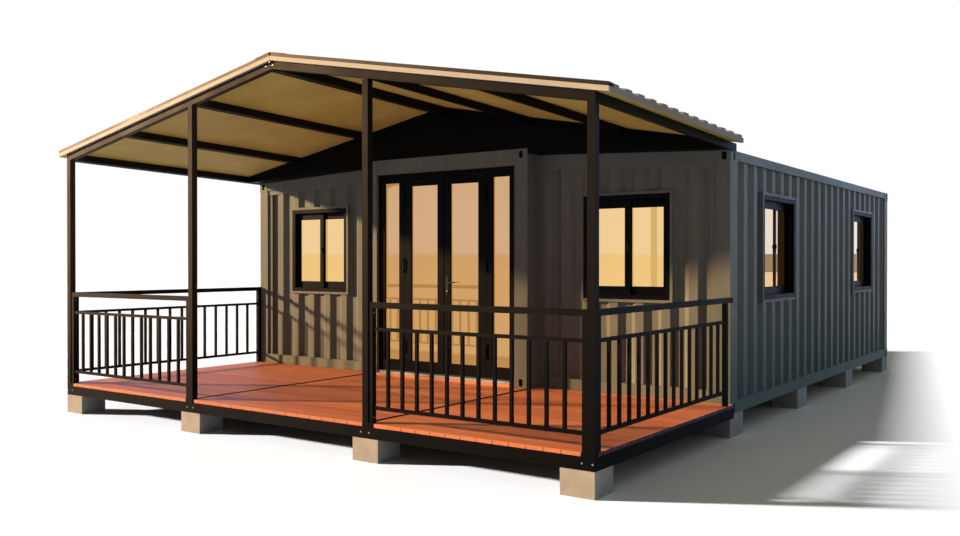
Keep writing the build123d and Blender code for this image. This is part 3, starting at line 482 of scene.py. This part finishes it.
class Piece:
    """Gathers soft-edged bars, rods, bolts and screws into one mesh."""

    def __init__(self, name, slot, body="cabin"):
        self.name, self.slot, self.body = name, slot, body
        self.mesh = bmesh.new()

    def soften(self, made, width, steps, sharp=None):
        """Bevels what was just made, or only its edges that are sharper than an angle."""
        edges = dict.fromkeys(edge for vert in made["verts"] for edge in vert.link_edges)
        edges = [edge for edge in edges if not sharp or edge.calc_face_angle(0) > sharp]
        bmesh.ops.bevel(self.mesh, geom=edges, offset=width, segments=steps, profile=0.5,
                        affect="EDGES", clamp_overlap=True)

    def bar(self, x, y, z, soft=0.002, turn=None, steps=2):
        """A box from its low and high X, Y and Z, turned after it is placed."""
        low, high = Vector((x[0], y[0], z[0])), Vector((x[1], y[1], z[1]))
        size = high - low
        matrix = Matrix.Translation((low + high) / 2) @ Matrix.Diagonal((*size, 1))
        if turn:
            matrix = turn @ matrix
        made = bmesh.ops.create_cube(self.mesh, size=1.0, matrix=matrix)
        self.soften(made, min(soft, min(size) * 0.45), steps)

    def rod(self, centre, along, radius, length, sides=20, soft=0.001, top=None):
        aim = Vector(along).to_track_quat("Z", "Y").to_matrix().to_4x4()
        made = bmesh.ops.create_cone(self.mesh, cap_ends=True, segments=sides, radius1=radius,
                                     radius2=radius if top is None else top, depth=length,
                                     matrix=Matrix.Translation(centre) @ aim)
        if soft:
            self.soften(made, soft, 1, 1.2)

    def bolt(self, centre, along, across, head):
        """A washer and a six-sided head that stand on a face."""
        washer = 0.002
        out = Vector(along).normalized()
        spot = Vector(centre)
        self.rod(spot + out * washer / 2, along, across * 0.72, washer, 18, 0.0)
        self.rod(spot + out * (washer + head / 2), along, across / 2 * 1.15, head, 6, 0.001)

    def screw(self, centre, along, radius=0.0055, head=0.003):
        out = Vector(along).normalized()
        self.rod(Vector(centre) + out * head / 2, along, radius, head, 10, 0.0, radius * 0.7)

    def done(self):
        data = bpy.data.meshes.new(self.name)
        bmesh.ops.recalc_face_normals(self.mesh, faces=self.mesh.faces)
        self.mesh.to_mesh(data)
        self.mesh.free()
        made = bpy.data.objects.new(self.name, data)
        bpy.context.collection.objects.link(made)
        data.materials.append(MATERIALS[self.slot])
        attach(made, self.body)


def span(side, near, far):
    """The X from near to far of a piece on the right, or of its twin on the left for side -1."""
    return sorted((side * near, side * far))


def around(middle, half):
    return middle - half, middle + half


def at_rear(y):
    """The same place at the other end of the house."""
    return 2 * HOUSE_MID_Y - y


# Deck: saw-cut board ends along the front, lips on the side joists, and black strips on the panel seams as
# painted shade for their dark lines

END_PITCH = 0.1483
FIRST_END = -HALF_DECK - 0.085
END_CUT = 0.0025
SHORTEST_END = 0.03
END_SPANS = ((-3.172, -1.19), (-1.07, 1.108), (1.365, 3.172))

ends = Piece("deck_board_ends", "deck_boards")
end_y = (BEAM_FRONT + 0.0015, DECK_FRONT + 0.001)
end_z = (DECK_BASE + 0.001, DECK_TOP - 0.0015)
cuts = [END_PITCH * i + FIRST_END for i in range(46)]
for near, far in END_SPANS:
    stops = [near] + [x for x in cuts if near + SHORTEST_END < x < far - SHORTEST_END] + [far]
    for low, high in zip(stops, stops[1:]):
        ends.bar((low, high - END_CUT), end_y, end_z, 0.004)
ends.done()

lips = Piece("deck_side_lips", "black_steel")
for side in (-1, 1):
    lips.bar(span(side, HALF_DECK, HALF_DECK + 0.004), (BEAM_FRONT, WING_FRONT - 0.004),
             (DECK_BASE - 0.008, DECK_BASE + 0.004), 0.0012)
lips.done()

# Painted shade: black strips over the panel seams stand in for their dark lines.
seams = Piece("deck_seams", "black_steel")
for side in (-1, 1):
    seams.bar(around(side * DECK_SEAM_X, 0.013), (BEAM_FRONT + 0.07, MODULE_FRONT - 0.012),
              (DECK_TOP - 0.001, DECK_TOP + 0.005), 0.002)
seams.done()


# Railing feet, the strip under the doors and the deck's screws

STILES = ((INNER_POST_X + POST / 2, INNER_POST_X + POST / 2 + STILE),
          (OUTER_POST_FACE - STILE, OUTER_POST_FACE))

feet = Piece("railing_feet", "black_steel")
for side in (-1, 1):
    for near, far in STILES:
        feet.bar(span(side, near, far), (BEAM_FRONT + 0.001, BEAM_FRONT + 0.01),
                 (DECK_BASE, DECK_TOP + 0.004), 0.001)
feet.done()

facing_strip = Piece("sill_facing", "deck_boards")
facing_strip.bar((-HALF_DOORWAY, HALF_DOORWAY), (MODULE_FRONT - 0.0065, MODULE_FRONT),
                 (DECK_BASE, SILL_TOP + 0.0005), 0.0015)
facing_strip.done()

JOIST_LINES = (-3.24, -2.19, -1.17, -1.11, 0.0, 1.11, 1.17, 2.19, 3.24)
SCREW_SHARES = (0.25, 0.75)
OUTER_POSTS_FROM = 3.2
NEAR_POST = 0.06
PORTAL_TO = 1.135

screws = Piece("deck_screws", "handle_steel")
for row in range(BOARD_COUNT):
    for x in JOIST_LINES:
        for share in SCREW_SHARES:
            y = DECK_FRONT + (row + share) * BOARD_PITCH
            by_post = row == 0 and (abs(abs(x) - INNER_POST_X) < NEAR_POST or abs(x) > OUTER_POSTS_FROM)
            in_portal = abs(x) <= PORTAL_TO and y >= MODULE_FRONT - 0.02
            if not by_post and not in_portal:
                screws.screw((x, y, DECK_TOP), (0, 0, 1), 0.0045, 0.0008)
screws.done()


# Bolts and screws of the front beam, the railings and the apex joint

BEAM_BOLTS_X = (3.180, 3.265, 1.0955, 1.1845)
BEAM_BOLT_Z = 0.246
APEX_BOLTS = ((-0.056, 3.415), (0.033, 3.418), (-0.009, 3.448))
RAIL_SCREW_HEIGHTS = (RAIL_TOP - 0.085, DECK_TOP + 0.05)

bolts = Piece("beam_bolts", "threshold")
for x in BEAM_BOLTS_X:
    for side in (-1, 1):
        bolts.bolt((side * x, BEAM_FRONT, BEAM_BOLT_Z), (0, -1, 0), 0.0105, 0.004)
bolts.done()

rail_screws = Piece("railing_screws", "threshold")
for side, railing in ((-1, "railing_side_left"), (1, "railing_side_right")):
    low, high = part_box(railing)
    middle = (low[0] + high[0]) / 2
    for z in RAIL_SCREW_HEIGHTS:
        rail_screws.screw((side * STILES[0][1], BEAM_FRONT + 0.03, z), (side, 0, 0))
        rail_screws.screw((side * STILES[1][0], BEAM_FRONT + 0.03, z), (-side, 0, 0))
        rail_screws.screw((middle, high[1] - STILE, z), (0, -1, 0))
        rail_screws.screw((middle, low[1] + STILE, z), (0, 1, 0))
rail_screws.done()

apex = Piece("apex_joint", "black_steel")
apex.bar((-0.0012, 0.0012), (BEAM_FRONT - 0.0012, BEAM_FRONT + 0.002),
         (RAFTER_TOP - 0.062, RAFTER_TOP - 0.012), 0.0005)
apex.done()

apex_bolts = Piece("apex_bolts", "threshold")
for x, z in APEX_BOLTS:
    apex_bolts.bolt((x, BEAM_FRONT, z), (0, -1, 0), 0.0095, 0.0035)
apex_bolts.done()


# Roof edge: a folded flashing over the rake, a black strip under it as painted shadow against the cream
# trim, and closers over the wings' corners

RAKE_SPAN = (0.006, 3.4555)
RAKE_FACE = -0.0275

flashing = Piece("rake_flashing", "roof_sheet")
# Painted shadow: a black strip under the flashing, against the cream trim.
shade_strip = Piece("rake_painted_shadow", "black_steel")
for side in (-1, 1):
    tilt = ROOF_SEAT @ Matrix.Translation((0, 0, SHEET_BASE))
    tilt = tilt @ Matrix.Rotation(side * math.atan(ROOF_SLOPE), 4, "Y")
    along = span(side, *RAKE_SPAN)
    flashing.bar(along, (RAKE_FACE, RAKE_FACE + 0.003), (0.0005, 0.0305), 0.001, tilt)
    flashing.bar(along, (RAKE_FACE, 0.034), (0.0275, 0.0305), 0.001, tilt)
    shade_strip.bar(along, (RAKE_FACE - 0.00045, RAKE_FACE + 0.001), (-0.0045, 0.0035), 0.0005, tilt)
flashing.done()
shade_strip.done()

# Black backs in the castings' holes, as painted shade for their dark insides: X, front Y and heights of the
# wings' holes and of the module's

WING_HOLES = (3.18325, WING_FRONT, (2.658, 0.275))
MODULE_HOLES = (HALF_DOORWAY + 0.082, MODULE_FRONT, (DECK_TOP + 0.059, 2.791))
SIDE_HOLE_FROM_END = 0.095
HOLE_HALF_WIDTH, HOLE_HALF_HEIGHT = 0.0245, 0.0395
BACK_DEPTHS = (0.008, 0.013)

# Painted shade: black plates set deep in each hole darken its inside.
backs = Piece("casting_hole_shade", "black_steel")
for side in (-1, 1):
    for x, front, heights in (WING_HOLES, MODULE_HOLES):
        for z in heights:
            tall = around(z, HOLE_HALF_HEIGHT)
            for y, turn in ((front, 1), (at_rear(front), -1)):
                deep = sorted(y + turn * depth for depth in BACK_DEPTHS)
                backs.bar(around(side * x, HOLE_HALF_WIDTH), deep, tall, 0.0005)
                if front == WING_FRONT:
                    deep = span(side, *(HALF_HOUSE - depth for depth in BACK_DEPTHS))
                    backs.bar(deep, around(y + turn * SIDE_HOLE_FROM_END, HOLE_HALF_WIDTH), tall, 0.0005)
backs.done()

closers = Piece("eave_closers", "black_steel")
for side in (-1, 1):
    closers.bar(span(side, 3.0995, 3.2185), (-2.2848, -2.055), (2.7082, 2.7122), 0.0008)
closers.done()


# Windows: beads round each pane and a latch on the meeting stile

def ring(piece, matrix, width, height, thick, deep, front):
    """A bead of four bars round an opening, centred on the matrix, facing its -Y."""
    w, h = width / 2, height / 2
    for x, z in (((-w, w), (h - thick, h)), ((-w, w), (-h, thick - h)),
                 ((-w, thick - w), (thick - h, h - thick)), ((w - thick, w), (thick - h, h - thick))):
        piece.bar(x, (front, front + deep), z, 0.0012, matrix, 1)


def window_places():
    """Each window's place, facing its own -Y, its size, and the way that its outer sash lies."""
    front_y = WING_FRONT + WALL_FACE
    half_turn = Matrix.Rotation(math.pi, 4, "Z")
    for side in (-1, 1):
        x = side * FRONT_WINDOW_X
        yield Matrix.Translation((x, front_y, WINDOW_Z)), FRONT_WINDOW, 1
        yield Matrix.Translation((x, at_rear(front_y), WINDOW_Z)) @ half_turn, FRONT_WINDOW, -1
        quarter_turn = Matrix.Rotation(side * math.pi / 2, 4, "Z")
        first_y = WING_FRONT + SIDE_WINDOW_FROM_END
        for y in (first_y, at_rear(first_y)):
            spot = Matrix.Translation((side * (HALF_HOUSE - WALL_FACE), y, WINDOW_Z))
            yield spot @ quarter_turn, SIDE_WINDOW, side


BEAD = 0.008

beads = Piece("window_beads", "window_black")
latches = Piece("window_latches", "handle_steel")
for matrix, (width, height), way in window_places():
    inner = width - 2 * WINDOW_TRIM - 2 * WINDOW_FACE
    tall = height - 2 * WINDOW_TRIM - 2 * WINDOW_FACE
    sash = inner / 2 + SASH_STILE / 2
    shift = (inner - sash) / 2
    glass = (sash - 2 * SASH_STILE, tall - 2 * SASH_RAIL)
    for offset, track in zip((-shift * way, shift * way), TRACKS):
        spot = matrix @ Matrix.Translation((offset, 0, 0))
        ring(beads, spot, *glass, BEAD, 0.007, track + 0.003)
        ring(beads, spot, *glass, BEAD, 0.005, track + 0.019)
    meeting = matrix @ Matrix.Translation(((sash / 2 - shift - SASH_STILE / 2) * way, 0, 0))
    latches.bar((-0.009, 0.009), (0.030, 0.038), (-0.045, 0.045), 0.003, meeting)
    latches.bar((-0.006, 0.006), (0.024, 0.031), (-0.006, 0.034), 0.0025, meeting)
beads.done()
latches.done()


# Doors: beads, handle plate and lock

def door_beads(name, body, x, z, fronts):
    """Beads on both faces of a pane, each from its front Y."""
    piece = Piece(name, "window_black", body)
    centre = Matrix.Translation(((x[0] + x[1]) / 2, 0, (z[0] + z[1]) / 2))
    for front in fronts:
        ring(piece, centre, x[1] - x[0], z[1] - z[0], 0.009, 0.008, front)
    piece.done()


LEAF_BEADS = (DOOR_Y + 0.006, GLASS_HIGH[1])
SIDE_BEADS = (DOOR_Y + 0.012, SIDE_GLASS_HIGH[1])
SIDELIGHT_NEAR = 0.661
for side, name in ((1, "right"), (-1, "left")):
    door_beads("leaf_beads_" + name, name + "_leaf", span(side, GLASS_LOW[0], GLASS_HIGH[0]),
               (GLASS_LOW[2], GLASS_HIGH[2]), LEAF_BEADS)
for side, name in ((1, "right"), (-1, "left")):
    door_beads("sidelight_beads_" + name, "cabin", span(side, SIDELIGHT_NEAR, SIDE_GLASS_HIGH[0]),
               (SIDE_GLASS_LOW[2], SIDE_GLASS_HIGH[2]), SIDE_BEADS)

HANDLE_X = 0.048
PLATE_THICKNESS = 0.006
PLATE_Z = (1.285, 1.49)
LOCK_Z = 1.332
LOCK_LENGTH = 0.006

plate = Piece("handle_plate", "handle_steel", "right_leaf")
lock = Piece("lock_cylinder", "threshold", "right_leaf")
for face, way in ((DOOR_Y, -1), (DOOR_Y + LEAF_THICKNESS, 1)):
    plate_face = face + way * PLATE_THICKNESS
    plate.bar(around(HANDLE_X, 0.019), sorted((face, plate_face)), PLATE_Z, 0.004, None, 3)
    lock.rod((HANDLE_X, plate_face + way * LOCK_LENGTH / 2, LOCK_Z), (0, way, 0), 0.0085, LOCK_LENGTH, 24)
plate.done()
lock.done()


# Camera, at the photograph's viewing angle

cam_data = bpy.data.cameras.new("camera")
cam_data.sensor_width = 36
cam_data.lens = 34.53
cam = bpy.data.objects.new("camera", cam_data)
bpy.context.collection.objects.link(cam)
yaw, pitch = math.radians(35.33), math.radians(-0.33)
look = Vector((-math.sin(yaw) * math.cos(pitch), math.cos(yaw) * math.cos(pitch), math.sin(pitch)))
cam.location = (6.3173, -10.4969, 1.6487)
cam.rotation_euler = look.to_track_quat("-Z", "Y").to_euler()
bpy.context.scene.camera = cam


# Stage: a pale floor that fades to white on the right

def studio_floor(half):
    data = bpy.data.meshes.new("studio_floor")
    corners = [(-half, -half, 0), (half, -half, 0), (half, half, 0), (-half, half, 0)]
    data.from_pydata(corners, [], [(0, 1, 2, 3)])
    made = bpy.data.objects.new("studio_floor", data)
    bpy.context.collection.objects.link(made)
    material, tree, shader = surface("studio_floor", Roughness=0.9, Specular_IOR_Level=0.0)
    point = place(tree)
    paths = node(tree, "LightPath").outputs
    pale = ramp(tree, noise(tree, point, 0.7, 4.0), (0.3, (0.9, 0.885, 0.885)), (0.7, (0.93, 0.915, 0.915)))
    colour(tree, shader, mix(tree, paths["Is Diffuse Ray"], pale, (0.46, 0.45, 0.45)))
    x, y, _ = axes(tree, point)
    fade = times(tree, spread(tree, weigh(tree, x, 1.0, y, 0.18), 4.1, 4.8), paths["Is Camera Ray"])
    white = node(tree, "Emission", {"Color": (1, 1, 1, 1), "Strength": 1.0}).outputs[0]
    swept = node(tree, "MixShader", {0: fade, 1: shader.outputs[0], 2: white}).outputs[0]
    tree.links.new(swept, tree.nodes["Material Output"].inputs[0])
    data.materials.append(material)
    return made


def surroundings():
    """White to the camera, a soft sky, warm on the left and cool on the right, and a mirrored horizon."""
    world = bpy.context.scene.world or bpy.data.worlds.new("world")
    bpy.context.scene.world = world
    world.use_nodes = True
    tree = world.node_tree
    tree.nodes.clear()
    direction = node(tree, "TexCoord").outputs["Generated"]
    toward = node(tree, "VectorMath", {0: direction, 1: (0.55, 0.78, 0.0)},
                  operation="DOT_PRODUCT").outputs["Value"]
    shade = spread(tree, toward, -0.2, 0.8, 0.455, 0.2)
    over_horizon = above(tree, axes(tree, direction)[2], 0.009)
    mirrored = mix(tree, over_horizon, combined(tree, shade, shade, shade), (0.5, 0.65, 1.0))
    gloss_level = times(tree, spread(tree, toward, -0.2, 0.8, 1.0, 0.95), 2.2)
    sky = mix(tree, spread(tree, toward, -0.7, 0.5), (1.0, 0.86, 0.68), (0.84, 0.97, 1.0))
    sky_level = spread(tree, toward, -0.9, 0.3, 0.12, 0.27)
    glossy = node(tree, "Background", {"Color": mirrored, "Strength": gloss_level}).outputs[0]
    ambient = node(tree, "Background", {"Color": sky, "Strength": sky_level}).outputs[0]
    white = node(tree, "Background", {"Color": (1, 1, 1, 1), "Strength": 1.0}).outputs[0]
    paths = node(tree, "LightPath").outputs
    seen = node(tree, "MixShader", {0: paths["Is Glossy Ray"], 1: ambient, 2: glossy}).outputs[0]
    seen = node(tree, "MixShader", {0: paths["Is Camera Ray"], 1: seen, 2: white}).outputs[0]
    tree.links.new(seen, node(tree, "OutputWorld").inputs[0])


def low_sun(name, energy, tint, floor, floor_state):
    """A low sun from the front left that lights only the floor, or everything but the floor."""
    lamp = bpy.data.lights.new(name, "SUN")
    lamp.energy = energy
    lamp.angle = math.radians(3.0)
    lamp.color = tint
    made = bpy.data.objects.new(name, lamp)
    bpy.context.collection.objects.link(made)
    made.rotation_euler = Vector((1.0, 0.56, -0.305)).to_track_quat("-Z", "Y").to_euler()
    lit = bpy.data.collections.new(name + "_receivers")
    lit.objects.link(floor)
    made.light_linking.receiver_collection = lit
    lit.collection_objects[0].light_linking.link_state = floor_state


stage_floor = studio_floor(150)
surroundings()
low_sun("object_sun", 9.2, (1.0, 0.62, 0.3), stage_floor, "EXCLUDE")
low_sun("floor_sun", 12.0, (1.0, 1.0, 1.0), stage_floor, "INCLUDE")

bpy.context.scene.view_settings.view_transform = "Standard"
